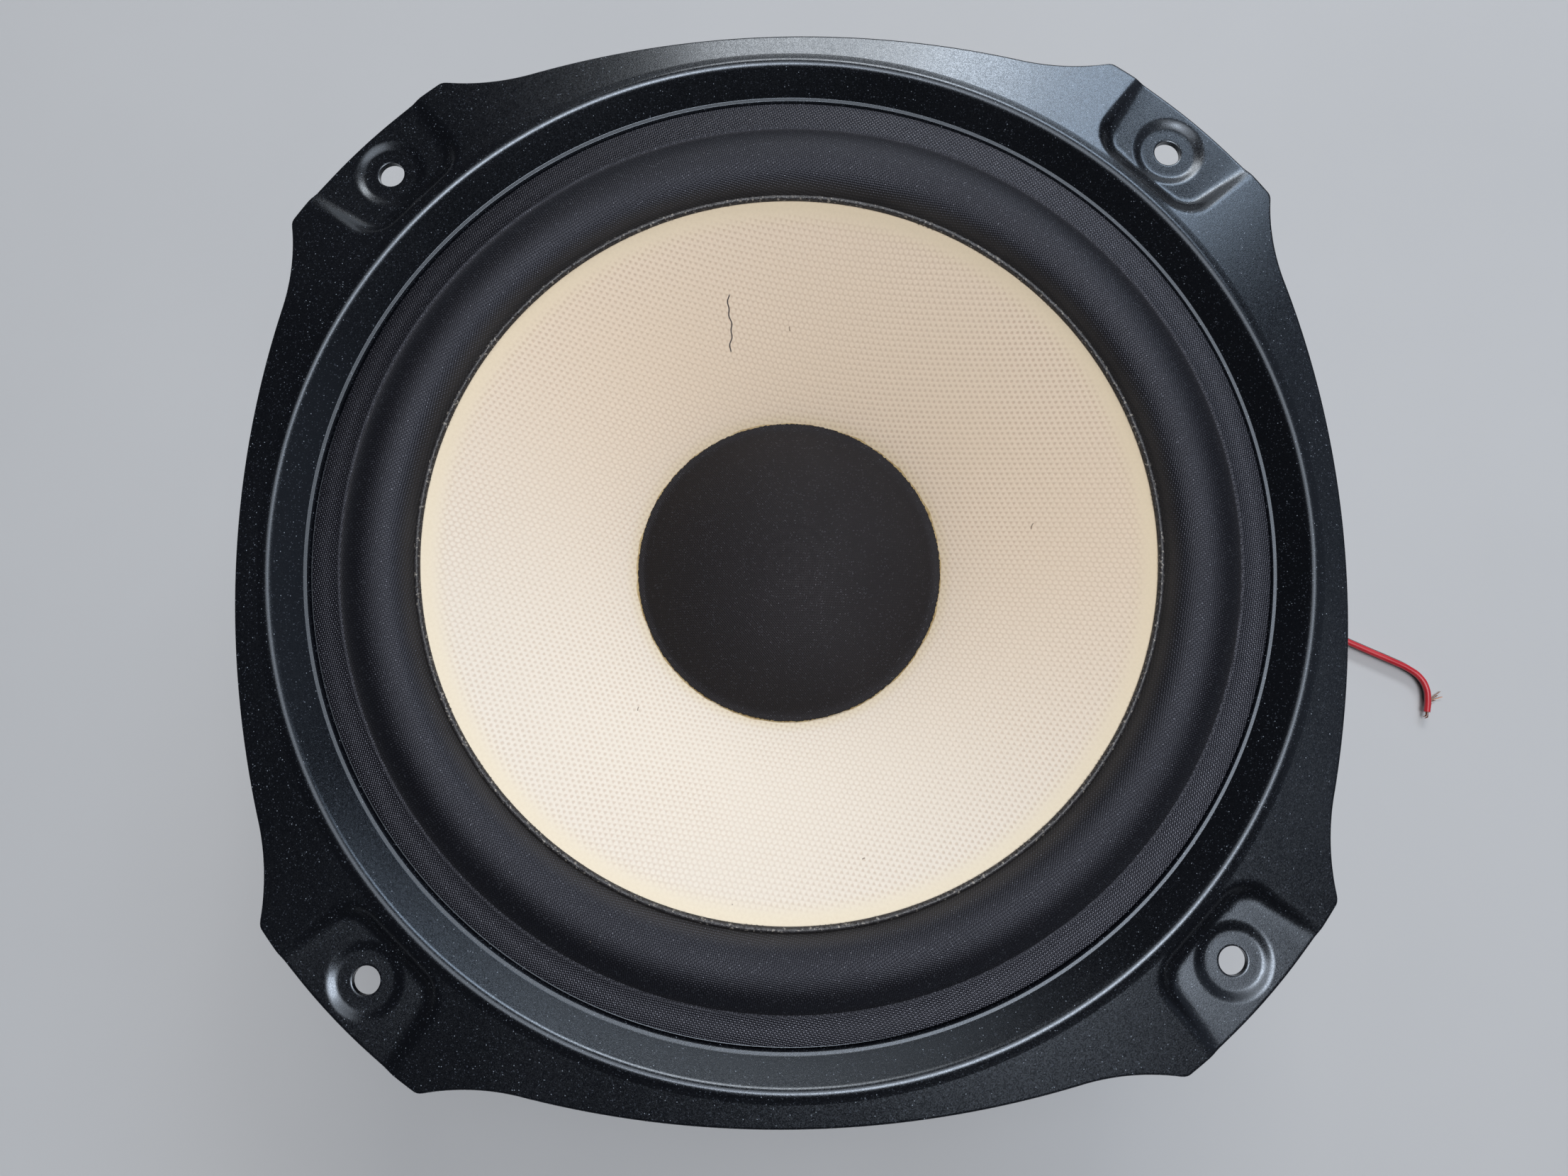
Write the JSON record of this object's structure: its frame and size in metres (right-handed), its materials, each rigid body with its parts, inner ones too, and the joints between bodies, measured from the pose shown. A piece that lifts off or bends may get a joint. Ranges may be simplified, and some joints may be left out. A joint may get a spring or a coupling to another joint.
{
  "type": "loudspeaker driver",
  "caption": "Single-cone woofer on its magnet: four-eared black pressed steel frame, half-roll surround, woven cream cone, black dust cap and a bare-ended twin lead.",
  "frame": {"origin": "centre of the four mounting holes, on the plane where the frame meets the baffle", "axes": "+Z is the way the cone fires, along the voice coil's axis; +X points to the terminal board"},
  "size_m": [0.2557, 0.1956, 0.0848],
  "materials": {
    "powder_coated_steel": "satin black powder coat with fine metallic flecks",
    "coated_cloth": "black cloth with a rubbery coating, weave showing",
    "woven_cone": "stiff cream weave",
    "black_adhesive": "speckled satin",
    "black_cloth": "matte black weave",
    "amber_adhesive": "dried clear amber glue",
    "polyimide": "amber film",
    "copper": "enamelled copper",
    "kraft_wrap": "brown paper wrap",
    "resined_cloth": "amber resin-stiffened cotton",
    "zinc_plated_steel": "zinc plate, faintly yellow",
    "ferrite": "dark grey ground ceramic",
    "phenolic_board": "brown resin-bonded paper",
    "bright_rivet": "bright",
    "lug_brass": "tinned brass",
    "solder": "dull solder",
    "copper_braid": "braided copper tinsel",
    "red_insulation": "soft glossy PVC",
    "black_insulation": "soft glossy PVC"
  },
  "bodies": {
    "frame_and_motor": {"basket": "powder_coated_steel", "surround": "coated_cloth", "spider": "resined_cloth", "front_plate": "zinc_plated_steel", "ferrite_magnet": "ferrite", "back_plate": "zinc_plated_steel", "pole_piece": "zinc_plated_steel", "staking_rivets": "zinc_plated_steel", "terminal_board": "phenolic_board", "terminal_board_rivet": "bright_rivet", "lug_positive": "lug_brass", "lug_negative": "lug_brass", "lug_rivets": "lug_brass", "solder_joints": "solder", "tinsel_lead_positive": "copper_braid", "tinsel_lead_negative": "copper_braid", "red_wire": "red_insulation", "black_wire": "black_insulation", "red_wire_strands": "copper", "black_wire_strands": "copper"},
    "cone_and_coil": {"cone": "woven_cone", "edge_glue": "black_adhesive", "dust_cap": "black_cloth", "dust_cap_glue": "amber_adhesive", "voice_coil_former": "polyimide", "voice_coil_winding": "copper", "former_collar": "kraft_wrap", "neck_glue": "amber_adhesive", "tinsel_anchors": "amber_adhesive"}
  },
  "joints": [
    {"name": "cone_travel", "type": "slide", "parent": "frame_and_motor", "child": "cone_and_coil", "axis": [0, 0, 1], "range_m": [-0.006, 0.006], "stiffness_N_per_m": 1200, "deforming": ["surround", "spider", "tinsel_lead_positive", "tinsel_lead_negative"]}
  ]
}
